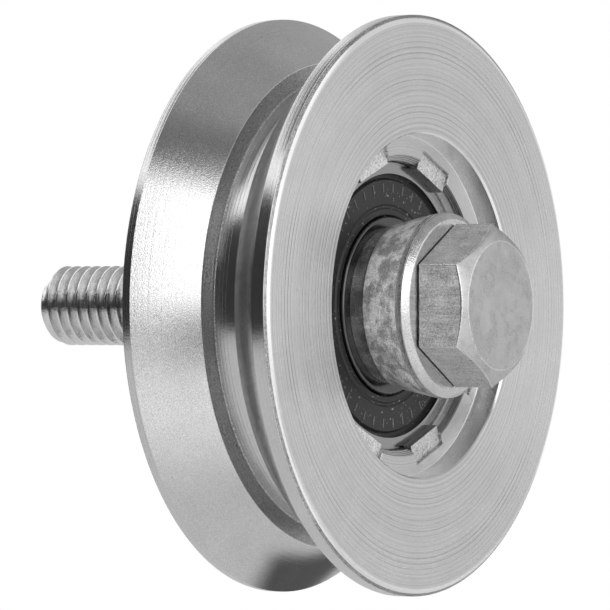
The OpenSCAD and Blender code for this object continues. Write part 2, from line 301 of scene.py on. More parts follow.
def plated_steel(name, level=0.6, rough=0.38, grain=1.0, blotch=0.2, lumps=1.0, dull=0.0,
                 uneven=1.0, drawn=0.0, rings=0.0):
    """Zinc plating over rolled or forged steel: grainy, in smooth and rough patches, lumpy.

    dull is the share of a chalky skin, which lies in patches where uneven is above 0. drawn
    is the depth of scratches along the axle, and rings of bands round it.
    """
    s = Shader(name)
    pits = s.noise(s.place, 6.0, 2.0, 0.65)
    lump = s.noise(s.place, 0.9, 3.0, 0.6)
    tone = s.noise(s.place, 0.45, 4.0, 0.6)
    patch = s.ramp(s.noise(s.place, 0.5, 5.0, 0.7), 0.43, 0.57, 0.0, 1.0)
    spots = s.ramp(s.noise(s.place, 6.5, 1.0, 0.5), 0.34, 0.66, 0.0, 1.0)
    band = s.noise_along(s.y, 1.3, 2.0)
    scratch = s.noise(s.vector("MULTIPLY", s.place, (1, 0.07, 1)), 5.0, 2.0, 0.6)
    light = s.sum((tone, blotch), (patch, 0.5 * blotch), (spots, -0.17 * grain),
                  (scratch, 0.3 * drawn), (band, rings))
    middle = level - 0.75 * blotch + 0.085 * grain - 0.15 * drawn - 0.5 * rings
    s.link(s.grey(s.math("ADD", light, middle)), s.surface.inputs["Base Color"])
    s.link(s.sum((patch, -0.6 * dull * uneven), (1.0, 1.0 - dull * (0.7 - 0.3 * uneven))),
           s.surface.inputs["Metallic"])
    s.link(s.sum((tone, 0.1), (patch, 0.6 * blotch), (spots, -0.05), (1.0, rough - 0.1)),
           s.surface.inputs["Roughness"])
    s.link(s.bump(s.sum((pits, 0.022 * grain), (lump, 0.04 * lumps), (patch, 0.012 * grain),
                        (scratch, 0.03 * drawn))),
           s.surface.inputs["Normal"])
    return s.material


def seal_rubber(name, worn):
    """Dark moulded rubber with specks of dust; worn is its brightness."""
    s = Shader(name)
    grain = s.noise(s.place, 6.0, 3.0, 0.6)
    dust = s.ramp(s.noise(s.place, 2.6, 2.0, 0.5), 0.665, 0.71, 0.0, 1.0)
    tone = s.noise(s.place, 0.3, 2.0)
    s.link(s.grey(s.sum((tone, 0.01), (dust, 0.3), (1.0, worn))),
           s.surface.inputs["Base Color"])
    s.link(s.sum((grain, 0.15), (tone, 0.1), (1.0, 0.36)), s.surface.inputs["Roughness"])
    s.link(s.bump(s.sum((grain, 0.006), (dust, 0.01))), s.surface.inputs["Normal"])
    return s.material


def ground_steel(name, level, rough):
    """The bearing's ground and polished steel, with a faint lay and oil film."""
    s = Shader(name)
    lay = s.noise_along(s.radius, 9.0, 3.0)
    film = s.noise(s.place, 0.5, 3.0)
    s.link(s.grey(s.sum((film, 0.06), (lay, 0.04), (1.0, level - 0.05))),
           s.surface.inputs["Base Color"])
    s.surface.inputs["Metallic"].default_value = 1.0
    s.link(s.sum((film, 0.08), (lay, 0.05), (1.0, rough - 0.06)), s.surface.inputs["Roughness"])
    s.link(s.bump(s.sum((lay, 0.002), (s.noise(s.place, 7.0), 0.002))),
           s.surface.inputs["Normal"])
    return s.material


# ---------------------------------------------------------------- meshes


def make_object(name, points, faces, materials, slots):
    """A mesh object from millimetre points, with outward faces and edges kept sharp by angle."""
    mesh = bpy.data.meshes.new(name)
    mesh.from_pydata([(x * MM, y * MM, z * MM) for x, y, z in points], [], faces)
    for material in materials:
        mesh.materials.append(material)
    mesh.polygons.foreach_set("material_index", slots)
    clean = bmesh.new()
    clean.from_mesh(mesh)
    bmesh.ops.remove_doubles(clean, verts=clean.verts, dist=1e-7)
    bmesh.ops.dissolve_degenerate(clean, edges=clean.edges, dist=1e-8)
    bmesh.ops.recalc_face_normals(clean, faces=clean.faces)
    clean.to_mesh(mesh)
    clean.free()
    mesh.shade_smooth()
    mesh.set_sharp_from_angle(angle=SHARP)
    piece = bpy.data.objects.new(name, mesh)
    bpy.context.collection.objects.link(piece)
    return piece


def rounded(corners):
    """An outline of (r, y, round, slot) corners as (r, y, slot) points, its corners rounded.

    A corner's slot is the material of the stretch from it to the next corner. A fifth value is
    the material of its rounding.
    """
    points = []
    for i, (r, y, radius, slot, *arc_slot) in enumerate(corners):
        here = Vector((r, y))
        before = Vector(corners[i - 1][:2]) - here
        after = Vector(corners[(i + 1) % len(corners)][:2]) - here
        if radius <= 0:
            points.append((r, y, slot))
            continue
        half = before.angle(after) / 2
        reach = min(radius / math.tan(half), 0.48 * before.length, 0.48 * after.length)
        radius = reach * math.tan(half)
        middle = (before.normalized() + after.normalized()).normalized()
        centre = here + middle * radius / math.sin(half)
        start = here + before.normalized() * reach - centre
        end = here + after.normalized() * reach - centre
        turn = start.angle_signed(end)
        for step in range(ARC_STEPS + 1):
            angle = -turn * step / ARC_STEPS
            spoke = Vector((start.x * math.cos(angle) - start.y * math.sin(angle),
                            start.x * math.sin(angle) + start.y * math.cos(angle)))
            of_arc = arc_slot and step < ARC_STEPS
            points.append((*(centre + spoke), arc_slot[0] if of_arc else slot))
    return points


def race(centre_r, low_side):
    """A race's groove as corners along a ring's wall, from front to rear.

    low_side is true for the inner ring, whose race is on the side of the axle.
    """
    wall = INNER_RING_R if low_side else OUTER_SHOULDER_R
    reach = math.acos(abs(centre_r - wall) / RACE_R)
    side = -1 if low_side else 1
    corners = []
    for step in range(RACE_STEPS + 1):
        angle = reach * (2 * step / RACE_STEPS - 1)
        corners.append((centre_r + side * RACE_R * math.cos(angle),
                        RACE_R * math.sin(angle), 0, 0))
    return corners


def spin(name, outline, materials, columns=COLUMNS):
    """A solid of revolution about Y from a closed outline of (r, y, slot) points."""
    points, faces, slots = [], [], []
    rows = len(outline)
    for i in range(columns):
        angle = 2 * math.pi * i / columns
        for r, y, _ in outline:
            points.append((r * math.sin(angle), y, r * math.cos(angle)))
    for i in range(columns):
        right = (i + 1) % columns
        for j in range(rows):
            after = (j + 1) % rows
            faces.append((i * rows + j, i * rows + after, right * rows + after, right * rows + j))
            slots.append(outline[j][2])
    return make_object(name, points, faces, materials, slots)


def fuse(piece, tool, operation):
    """Cuts a tool out of a piece, or joins it on, and drops the tool."""
    step = piece.modifiers.new(operation, "BOOLEAN")
    step.operation = operation
    step.solver = "EXACT"
    step.material_mode = "INDEX"
    step.object = tool
    graph = bpy.context.evaluated_depsgraph_get()
    mesh = bpy.data.meshes.new_from_object(piece.evaluated_get(graph))
    piece.modifiers.clear()
    old = piece.data
    piece.data = mesh
    bpy.data.meshes.remove(old)
    bpy.data.objects.remove(tool)
    mesh.shade_smooth()
    mesh.set_sharp_from_angle(angle=SHARP)


def settle(piece, body, slot, *nodes):
    """Every piece rides on a body and may stand for CAD nodes; slot is not used."""
    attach(piece, body)
    if nodes:
        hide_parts(*nodes)


# ---------------------------------------------------------------- the wheel

# The wheel's finishes, in the order of its material slots
FACE, CONE, LAND, EDGE, BEAD, SHADED_WALL, FLOOR, SHADED_BEVEL, LIT_SIDE, STAMP = range(10)


def wheel_materials():
    """The wheel's materials, one for each finish; some levels are painted light or shade, as noted
    at each.
    """
    face = turned_steel("turned_face", 1, 0, level=0.68, rough=0.24, aniso=0.7, lines=1.35,
                        streak=1.2, grain=0.5)
    cone = turned_steel("turned_cone", 0.64, 0.77, level=0.72, rough=0.17, aniso=0.3, feed=0.8,
                        lines=0.15, grain=1.4, blotch=0.16)
    land = turned_steel("turned_land", 0, 1, level=0.72, rough=0.16, aniso=0.3, feed=0.5,
                        lines=0.5, grain=0.8)
    edge = turned_steel("turned_edge", 0.9, 0.4, level=0.38, rough=0.4, aniso=0.0, grain=2.5,
                        lines=0.3, blotch=0.3)
    bead = turned_steel("rolled_edge", 1, 0, level=0.92, rough=0.16, aniso=0.3, grain=0.5,
                        lines=0.2)
    # The walls of the relief slot and of the stake pockets: grainier steel, darkened to a level of
    # 0.46 as painted shade.
    wall = turned_steel("turned_wall_painted_shade", 1, 0, level=0.46, rough=0.3, aniso=0.0, grain=2.6,
                        lines=0.5)
    floor = turned_steel("turned_floor", 1, 0, level=0.68, rough=0.24, aniso=0.6, feed=0.35,
                         grain=0.5)
    # The bevels' steel is darkened to a level of 0.15 as painted shade: the seat's bevel, the rear
    # shoulder's chamfer and the pads' sides.
    bevel = turned_steel("turned_bevel_painted_shade", 0.7, 0.7, level=0.15, rough=0.2, aniso=0.5, feed=0.26,
                         lines=1.4)
    # The recess's wall and the bores of the seat and the shoulder: brightened to a level of 0.93
    # as painted light.
    side = turned_steel("turned_side_painted_light", 0, 1, level=0.93, rough=0.3, aniso=0.2, grain=0.8,
                        lines=0.25, blotch=0.12)
    stamp = plated_steel("stamped_steel", level=0.82, rough=0.34, grain=3.0, blotch=0.12)
    return [face, cone, land, edge, bead, wall, floor, bevel, side, stamp]


def seat_steps():
    """The bevel at the seat's mouth: coarse turned ridges, from its foot to its mouth.

    Each ridge is a flat, a strip that is a little steeper and a riser. The flat and the riser are
    darkened with painted shade; the strip takes the floor's lighter steel.
    """
    corners = []
    strip_start, strip_end = 0.5, 0.85
    wide, deep = (SEAT_MOUTH_R - SEAT_R) / SEAT_RIDGES, SEAT_BEVEL_DEPTH / SEAT_RIDGES
    for k in range(SEAT_RIDGES):
        r, y = SEAT_R + k * wide, LIP_FRONT + SEAT_BEVEL_DEPTH - k * deep
        corners.append((r, y, 0, SHADED_BEVEL))
        corners.append((r + strip_start * wide, y - 0.1 * deep, 0, FLOOR))
        corners.append((r + strip_end * wide, y - 0.15 * deep, 0, SHADED_BEVEL))
    return corners


def wheel_outline():
    """The wheel's section: round the rims, the V and its slot, then through the bore."""
    land_front = FACE_FRONT + RIM_EDGE_SIDE + FRONT_LAND
    land_rear = FACE_REAR - RIM_EDGE_SIDE - REAR_LAND
    relief_floor = RELIEF_HALF - RELIEF_LEAN
    return rounded([
        (RECESS_R + RECESS_CHAMFER, FACE_FRONT, 0.08, FACE),
        (WHEEL_R - RIM_EDGE_FACE, FACE_FRONT, RIM_ROUND, EDGE, BEAD),
        (WHEEL_R, FACE_FRONT + RIM_EDGE_SIDE, 0.12, LAND),
        (WHEEL_R, land_front, 0.06, CONE),
        (FOOT_R, -RELIEF_HALF, 0.2, SHADED_WALL),
        (RELIEF_R, -relief_floor, RELIEF_ROUND, LAND),
        (RELIEF_R, relief_floor, RELIEF_ROUND, SHADED_WALL),
        (FOOT_R, RELIEF_HALF, 0.2, CONE),
        (WHEEL_R, land_rear, 0.06, LAND),
        (WHEEL_R, FACE_REAR - RIM_EDGE_SIDE, 0.12, EDGE),
        (WHEEL_R - RIM_EDGE_FACE, FACE_REAR, RIM_ROUND, FACE, BEAD),
        (SHOULDER_R + SHOULDER_CHAMFER, FACE_REAR, 0.08, SHADED_BEVEL),
        (SHOULDER_R, FACE_REAR - SHOULDER_CHAMFER, 0.08, LIT_SIDE),
        (SHOULDER_R, RING_REAR, 0.05, FLOOR),
        (SEAT_R, RING_REAR, 0.05, LIT_SIDE),
        *seat_steps(),
        (SEAT_MOUTH_R, LIP_FRONT, 0.06, FLOOR),
        (RECESS_R, LIP_FRONT, 0.12, LIT_SIDE),
        (RECESS_R, FACE_FRONT + RECESS_CHAMFER, 0.05, BEAD)])


def block(place, turn, levels, side, points, faces, slots):
    """Adds one block to a mesh's lists.

    Its middle is at place, an (x, z) pair, and it is turned from lying along X. levels are its
    rectangles, ((half_l, half_w), y), from front to rear. Its sides take the finish side.
    """
    first = len(points)
    for (half_l, half_w), y in levels:
        for a, b in ((-1, -1), (1, -1), (1, 1), (-1, 1)):
            along, out = a * half_l, b * half_w
            x = place[0] + along * math.cos(turn) + out * math.sin(turn)
            z = place[1] - along * math.sin(turn) + out * math.cos(turn)
            points.append((x, y, z))
    count = len(levels)
    faces.append((first, first + 1, first + 2, first + 3))
    last = first + 4 * (count - 1)
    faces.append((last + 3, last + 2, last + 1, last))
    for k in range(count - 1):
        for c in range(4):
            d = (c + 1) % 4
            a = first + 4 * k
            faces.append((a + c, a + d, a + 4 + d, a + 4 + c))
    slots.extend([STAMP] * 2 + [side] * 4 * (count - 1))


def stake_blocks(name, levels_of, side, materials, jitter):
    """One block at each stake mark. levels_of gives its rectangles from how deep it sinks."""
    points, faces, slots = [], [], []
    for i, (swing, sink) in enumerate(jitter):
        angle = math.radians(STAKE_FIRST + i * 360 / STAKES)
        place = (STAKE_CIRCLE_R * math.sin(angle), STAKE_CIRCLE_R * math.cos(angle))
        block(place, angle + swing, levels_of(sink), side, points, faces, slots)
    return make_object(name, points, faces, materials, slots)


def make_wheel():
    """The wheel: its turned body, with a pocket cut and a pad raised at each stake mark."""
    materials = wheel_materials()
    wheel = spin("wheel_body", wheel_outline(), materials)
    draw = random.Random(7)
    jitter = [(math.radians(draw.uniform(-STAKE_SWING, STAKE_SWING)),
               draw.uniform(-STAKE_SINK, STAKE_SINK)) for _ in range(STAKES)]
    half_l, half_w = STAKE_L / 2, STAKE_W / 2

    def pocket(sink):
        """The punch's print, from above the lip down to its floor."""
        mouth = (half_l + STAKE_RIM, half_w + STAKE_RIM)
        return [(mouth, LIP_FRONT - 0.3),
                (mouth, LIP_FRONT),
                ((half_l, half_w), LIP_FRONT + STAKE_RIM),
                ((half_l, half_w), STAKE_FLOOR + sink)]

    def pad(sink):
        """The metal under the print, down to just above the bearing's ring."""
        top = STAKE_FLOOR + sink - PLAY
        foot = (half_l - PLAY, half_w - PLAY)
        return [((half_l - PLAY, half_w - STAKE_BULGE), top),
                (foot, top + STAKE_BULGE),
                (foot, RING_FRONT - 0.01)]

    # The pockets' walls and the pads' sides take steel darkened as painted shade.
    fuse(wheel, stake_blocks("pockets", pocket, SHADED_WALL, materials, jitter), "DIFFERENCE")
    fuse(wheel, stake_blocks("pads", pad, SHADED_BEVEL, materials, jitter), "UNION")
    settle(wheel, "rolling_wheel", "wheel", "wheel")


# ---------------------------------------------------------------- the bearing


def make_outer_ring(steel):
    """The bearing's outer ring, with a groove for each seal and the balls' race."""
    seal_step = -SEAL_BACK - PLAY
    seal_in = -SEAL_FACE
    rear = [
        (MOUTH_R, seal_in, 0, 0),
        (SEAL_R + PLAY, seal_in, 0, 0),
        (SEAL_R + PLAY, seal_step, 0, 0),
        (OUTER_SHOULDER_R, seal_step, 0.05, 0)]
    front = [(r, -y, edge, slot) for r, y, edge, slot in reversed(rear)]
    corners = (
        [(MOUTH_R, RING_FRONT, 0.1, 0), (RING_R, RING_FRONT, OUTER_RING_ROUND, 0),
         (RING_R, RING_REAR, OUTER_RING_ROUND, 0), (MOUTH_R, RING_REAR, 0.1, 0)]
        + rear + list(reversed(race(PITCH_R, False))) + front)
    ring = spin("outer_race", rounded(corners), [steel])
    settle(ring, "rolling_wheel", "bearing_steel", "outer_ring")


def make_inner_ring(steel):
    """The bearing's inner ring, with the balls' race."""
    edge = INNER_RING_ROUND
    corners = (
        [(BORE_R, RING_FRONT, edge, 0), (INNER_RING_R, RING_FRONT, edge, 0)]
        + race(PITCH_R, True)
        + [(INNER_RING_R, RING_REAR, edge, 0), (BORE_R, RING_REAR, edge, 0)])
    ring = spin("inner_race", rounded(corners), [steel])
    settle(ring, "axle", "bearing_steel", "inner_ring")


def seal_ticks(side, rubber):
    """Plain raised ticks, evenly round the seal's flat."""
    points, faces = [], []
    half_l, half_w = TICK_L / 2, TICK_W / 2
    for i in range(TICKS):
        angle = 2 * math.pi * (i + 0.5) / TICKS
        first = len(points)
        for y in (SEAL_FACE - TICK_H, SEAL_FACE + TICK_ROOT):
            for a, b in ((-1, -1), (1, -1), (1, 1), (-1, 1)):
                r, swing = TICK_R + a * half_l, b * half_w
                x = r * math.sin(angle) + swing * math.cos(angle)
                z = r * math.cos(angle) - swing * math.sin(angle)
                points.append((x, side * y, z))
        faces += [[first + k for k in face] for face in (
            (0, 1, 2, 3), (7, 6, 5, 4), (0, 4, 5, 1), (1, 5, 6, 2), (2, 6, 7, 3), (3, 7, 4, 0))]
    return make_object("ticks", points, faces, rubber, [1] * len(faces))


def make_seal(name, node, rubber, side):
    """The moulded seal, from its lip at the inner ring over its flat to its rim and back.

    It is written for the front; side is -1 for the rear, which is its mirror image.
    """
    lip_r = INNER_RING_R + SEAL_GAP
    corners = [
        (lip_r, SEAL_FACE + 0.12, 0.05, 0),
        (lip_r + 0.12, SEAL_FACE + 0.02, 0.05, 0),
        (lip_r + 0.75, SEAL_FACE + 0.02, 0.06, 0),
        (lip_r + 0.95, SEAL_FACE + 0.22, 0.06, 0),
        (lip_r + 1.15, SEAL_FACE + 0.22, 0.06, 0),
        (lip_r + 1.35, SEAL_FACE + 0.04, 0.08, 0),
        (MOUTH_R - 0.75, SEAL_FACE, 0.15, 0),
        (MOUTH_R - 0.5, SEAL_FACE + 0.45, 0.08, 0),
        (MOUTH_R + 0.05, SEAL_FACE + 0.45, 0.05, 0),
        (MOUTH_R + 0.1, SEAL_FACE + 0.08, 0.04, 0),
        (SEAL_R, SEAL_FACE + 0.08, 0.04, 0),
        (SEAL_R, SEAL_BACK, 0.1, 0),
        (INSERT_R, SEAL_BACK, 0, 0),
        (INSERT_R, INSERT_FRONT + 0.15, 0, 0),
        (lip_r + 0.9, INSERT_FRONT + 0.15, 0, 0),
        (lip_r + 0.9, SEAL_BACK, 0, 0),
        (lip_r, SEAL_BACK, 0.1, 0)]
    corners = [(r, side * y, edge, slot) for r, y, edge, slot in corners]
    seal = spin(name, rounded(corners), rubber)
    fuse(seal, seal_ticks(side, rubber), "UNION")
    settle(seal, "rolling_wheel", "seal_rubber", node)


# ---------------------------------------------------------------- bushes


# A bush's finishes, in the order of its material slots
CONE_SKIN, FACE_SKIN, NECK_SKIN, LAND_SKIN = range(4)


def make_front_bush(materials):
    """The conical bush under the bolt's head."""
    land = BUSH_FRONT + BUSH_CHAMFER
    corners = [
        (BUSH_HOLE_R, BUSH_FRONT, 0.15, FACE_SKIN),
        (FRONT_BUSH_R - BUSH_CHAMFER, BUSH_FRONT, 0.35, FACE_SKIN),
        (FRONT_BUSH_R, land, 0.25, LAND_SKIN),
        (FRONT_BUSH_R, land + BUSH_LAND, 0.1, CONE_SKIN),
        (REAR_BUSH_R, NECK_FRONT, 0.25, NECK_SKIN),
        (NECK_R, NECK_FRONT, 0.1, NECK_SKIN),
        (NECK_R, RING_FRONT, 0.05, NECK_SKIN),
        (SPIGOT_R, RING_FRONT, 0.05, NECK_SKIN),
        (SPIGOT_R, FRONT_SPIGOT_END - SPIGOT_CHAMFER, 0.05, NECK_SKIN),
        (SPIGOT_R - SPIGOT_CHAMFER, FRONT_SPIGOT_END, 0.05, NECK_SKIN),
        (BUSH_HOLE_R, FRONT_SPIGOT_END, 0.05, NECK_SKIN)]
    bush = spin("flanged_collar", rounded(corners), materials, BUSH_COLUMNS)
    settle(bush, "axle", "bush_steel", "front_bush")


def make_rear_bush(materials):
    """The plain bush that carries the inner ring against the bracket."""
    corners = [
        (BUSH_HOLE_R, REAR_SPIGOT_END, 0.05, NECK_SKIN),
        (SPIGOT_R - SPIGOT_CHAMFER, REAR_SPIGOT_END, 0.05, NECK_SKIN),
        (SPIGOT_R, REAR_SPIGOT_END + SPIGOT_CHAMFER, 0.05, NECK_SKIN),
        (SPIGOT_R, RING_REAR, 0.05, NECK_SKIN),
        (NECK_R, RING_REAR, 0.05, NECK_SKIN),
        (NECK_R, NECK_REAR, 0.1, NECK_SKIN),
        (REAR_BUSH_R, NECK_REAR, 0.2, CONE_SKIN),
        (REAR_BUSH_R, BUSH_REAR - REAR_CHAMFER, 0.1, LAND_SKIN),
        (REAR_BUSH_R - REAR_CHAMFER, BUSH_REAR, 0.1, LAND_SKIN),
        (BUSH_HOLE_R + HOLE_CHAMFER, BUSH_REAR, 0.08, FACE_SKIN),
        (BUSH_HOLE_R, BUSH_REAR - HOLE_CHAMFER, 0.05, NECK_SKIN)]
    bush = spin("rear_spacer", rounded(corners), materials, BUSH_COLUMNS)
    settle(bush, "axle", "bush_steel", "rear_bush")


# ---------------------------------------------------------------- the bolt

# The bolt's finishes, in the order of its material slots
CROWN_SKIN, HEX_SKIN, SHANK_SKIN, THREAD_SKIN, EDGE_SKIN = range(5)
# Degrees from a hexagon's corner to the middle of a side, closer together round the corner
CORNER_STEPS = (0, 0.25, 0.5, 0.8, 2.5, 6.0, 11.0, 17.0, 23.5, 30)
CORNER_WIDTH = 1        # degrees each side of a corner that take the edges' finish
HEX_ROUND = 0.25
DISH_PARTS = (0.15, 0.3, 0.45, 0.6, 0.72, 0.84, 0.93, 1.0)
# The thread's section: parts of a turn from a crest, and of the height from root to crest
THREAD_FORM = (
    (-0.06, 1.0), (0.06, 1.0), (0.10, 0.93), (0.39, 0.07),
    (0.45, 0.0), (0.55, 0.0), (0.61, 0.07), (0.90, 0.93))


def bolt_angles():
    """Angles of the bolt's columns: a corner of the hexagon is at the top."""
    angles = []
    for corner in range(6):
        for step in CORNER_STEPS[:-1]:
            angles.append((60 * corner + step, step))
        for step in CORNER_STEPS[:0:-1]:
            angles.append((60 * corner + 60 - step, step))
    return angles


def hexagon_r(step):
    """The hexagon's radius that many degrees from a corner, the corner rounded."""
    turn = math.radians(step)
    centre = (HEAD_HALF_AF - HEX_ROUND) / math.cos(math.pi / 6)
    tangent = math.atan(HEX_ROUND * 0.5 / (centre + HEX_ROUND * math.cos(math.pi / 6)))
    if turn < tangent:
        return centre * math.cos(turn) + math.sqrt(HEX_ROUND ** 2 - (centre * math.sin(turn)) ** 2)
    return HEAD_HALF_AF / math.cos(math.pi / 6 - turn)


def head_rows(step):
    """(r, y, slot) down one column of the head, from near its middle to the shank."""
    rows = []
    for part in DISH_PARTS:
        depth = DISH_DEPTH * (0.5 + 0.5 * math.cos(math.pi * part))
        rows.append((part * DISH_R, HEAD_FRONT + depth, CROWN_SKIN))
    side_r = hexagon_r(step)
    slope = math.tan(CROWN_ANGLE)
    edge = 0.14
    crown_y = HEAD_FRONT + (side_r - CROWN_R) * slope
    rows += [
        (CROWN_R - 0.25, HEAD_FRONT, CROWN_SKIN),
        (CROWN_R - 0.08, HEAD_FRONT + 0.015, EDGE_SKIN),
        (CROWN_R + 0.08, HEAD_FRONT + 0.06, CROWN_SKIN),
        (side_r - edge, crown_y - edge * slope, EDGE_SKIN),
        (side_r - 0.3 * edge, crown_y + 0.15 * edge, EDGE_SKIN),
        (side_r, crown_y + edge, HEX_SKIN),
        (side_r, HEX_REAR - 0.5, HEX_SKIN),
        (side_r + 0.05, HEX_REAR - 0.32, HEX_SKIN),
        (side_r + 0.05, HEX_REAR - 0.16, EDGE_SKIN),
        (side_r - 0.05, HEX_REAR, HEX_SKIN),
        (WASHER_R, HEX_REAR, HEX_SKIN),
        (WASHER_R, BUSH_FRONT, HEX_SKIN),
        (CREST_R, BUSH_FRONT, HEX_SKIN),
        (CREST_R, BUSH_FRONT + 1.0, SHANK_SKIN)]
    return rows


# The rows of head_rows that run down the hexagon's sides
SIDE_ROWS = range(len(DISH_PARTS) + 5, len(DISH_PARTS) + 8)


def thread_r(level, y, start):
    """The thread's radius: it fades out into the shank and is cut back at the bolt's end."""
    part = min(max((y - start) / (THREAD_FADE * PITCH), 0.0), 1.0)
    depth = (SHANK_R - THREAD_ROOT_R) * (1 - level)
    chamfer = SHANK_R - END_CHAMFER + (BOLT_END - y)
    return min(CREST_R - depth * part, chamfer)


def make_bolt(materials):
    """The bolt as one skin of columns: down the head, then along a helical thread.

    The thread's rows rise by one turn round the bolt, so the last column joins rows of the
    first one that lie a turn further on.
    """
    angles = bolt_angles()
    columns = len(angles)
    start = THREAD_START - THREAD_LEAD_IN
    points, faces, slots = [], [], []
    heads = [head_rows(step) for _, step in angles]
    head_count = len(heads[0])
    turns = math.ceil((BOLT_END - start) / PITCH) + 2
    form = len(THREAD_FORM)
    thread_count = turns * form
    for (angle, _), rows in zip(angles, heads):
        turn = math.radians(angle)
        column = [(r, y) for r, y, _ in rows]
        for j in range(thread_count):
            shift, level = THREAD_FORM[j % form]
            y = THREAD_START + PITCH * (j // form - 1.5 + shift + angle / 360)
            y = min(max(y, start), BOLT_END)
            column.append((thread_r(level, y, start), y))
        points += [(r * math.sin(turn), y, r * math.cos(turn)) for r, y in column]
    rows_each = head_count + thread_count
    for i in range(columns):
        right = (i + 1) % columns
        lift = form if right == 0 else 0
        for j in range(head_count):
            k = j + 1
            last = k == head_count
            a, b = i * rows_each + j, i * rows_each + k
            c, d = right * rows_each + k + (lift if last else 0), right * rows_each + j
            faces.append((a, b, c, d))
            corner = max(angles[i][1], angles[right][1]) < CORNER_WIDTH
            slots.append(EDGE_SKIN if corner and j in SIDE_ROWS else heads[0][j][2])
        for j in range(head_count, rows_each - 1 - lift):
            a, b = i * rows_each + j, i * rows_each + j + 1
            c, d = right * rows_each + j + 1 + lift, right * rows_each + j + lift
            faces.append((a, b, c, d))
            slots.append(THREAD_SKIN)
    for index, y in ((0, HEAD_FRONT + DISH_DEPTH), (rows_each - 1, BOLT_END)):
        centre = len(points)
        points.append((0, y, 0))
        for i in range(columns):
            right = (i + 1) % columns
            faces.append((i * rows_each + index, right * rows_each + index, centre))
            slots.append(CROWN_SKIN if index == 0 else SHANK_SKIN)
    bolt = make_object("hexagon_bolt", points, faces, materials, slots)
    settle(bolt, "axle", "bolt_steel", "bolt")


# ---------------------------------------------------------------- CAD nodes that stay


def paint(node, material):
    """Gives a CAD node's object a finer material; its mesh stays as it is."""
    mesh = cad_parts[node].data
    mesh.materials.clear()
    mesh.materials.append(material)


def paint_hidden_pieces():
    """Finishes for the balls, the cage and the seals' inserts."""
    balls = ground_steel("ball_steel", 0.7, 0.08)
    for i in range(BALLS):
        paint("ball_%d" % (i + 1), balls)
    sheet = plated_steel("pressed_sheet", level=0.55, rough=0.35, grain=0.6, lumps=0.4)
    for node in ("cage_front", "cage_rear", "cage_rivets", "front_seal_insert",
                 "rear_seal_insert"):
        paint(node, sheet)


# ---------------------------------------------------------------- studio

# The panels that show in the metal: name, bearing and elevation of the middle, width and
# height, all in degrees, and the level. Then, where they aren't studio_panel's own: the soft
# share of the width and of the height, the distance in metres, and a shift of the middle.
PANELS = (
    ("dark_flag_left", -33, 12.5, 38, 52, 0.04, (0.05, 0.05), 1.2),
    ("dark_behind_camera", 22, 14, 32, 60, 0.05, (0.06, 0.06), 1.2),
    ("dark_gap_left", -4, 6.5, 26, 35, 0.05, (0.06, 0.06), 1.15),
    ("softbox_left", 60, 21, 48, 78, 1.7, (0.08, 0.32)),
    ("softbox_low_left", 73, -28, 86, 70, 0.9, (0.15, 0.32), 0.23),
    ("softbox_front", 98, 0, 38, 34, 1.3),
    ("grey_ceiling", 105, 67, 110, 50, 0.34, (0.1, 0.3), 1.4),
    ("dark_beam_high", 56, 54, 60, 34, 0.17, (0.2, 0.45), 1.35),
    ("grey_wall_right", 147, 0, 36, 100, 0.66, (0.15, 0.15), 1.4),
    ("grey_wall_far_right", 190, 32, 56, 60, 0.4, (0.2, 0.2), 1.4),
    ("softbox_top_left", -45, 56, 60, 32, 1.15),
    ("softbox_back", -96, 32, 66, 38, 1.2, (0.1, 0.1), 1.5),
    ("dark_wall_back", -88, 0, 84, 36, 0.03, (0.06, 0.12), 1.3),
    ("dark_ceiling_back", -92, 68, 70, 26, 0.12, (0.1, 0.2), 1.4),
    # A dark card just under the wheel, seen only in the metal: a painted contact shadow, for the
    # wheel's shadow on a table under its rim.
    ("dark_floor_near", 90, -90, 102, 17.5, 0.1, (0.07, 0.28), 0.0365, (0.036, 0.0072, 0)),
    ("dark_card_near", 47, -12, 15, 40, 0.1, (0.4, 0.4), 0.06, (-0.026, -0.001, -0.002)),
)
# Name, place in metres, side in metres (0 for a distant lamp), and power
LAMPS = (
    ("key", (-1.0, -0.5, 0.15), 0, 3.2),
    ("fill", (0.9, -0.6, 0.5), 0.8, 4.2),
    ("rim", (-0.3, 1.0, 0.7), 0.8, 4.2),
)
DISTANT_LAMP_ANGLE = math.radians(36)
FLOOR_HEIGHT, FLOOR_REACH = -0.25, 1.9      # metres
AMBIENT = 0.32                              # the world's light on what doesn't mirror it


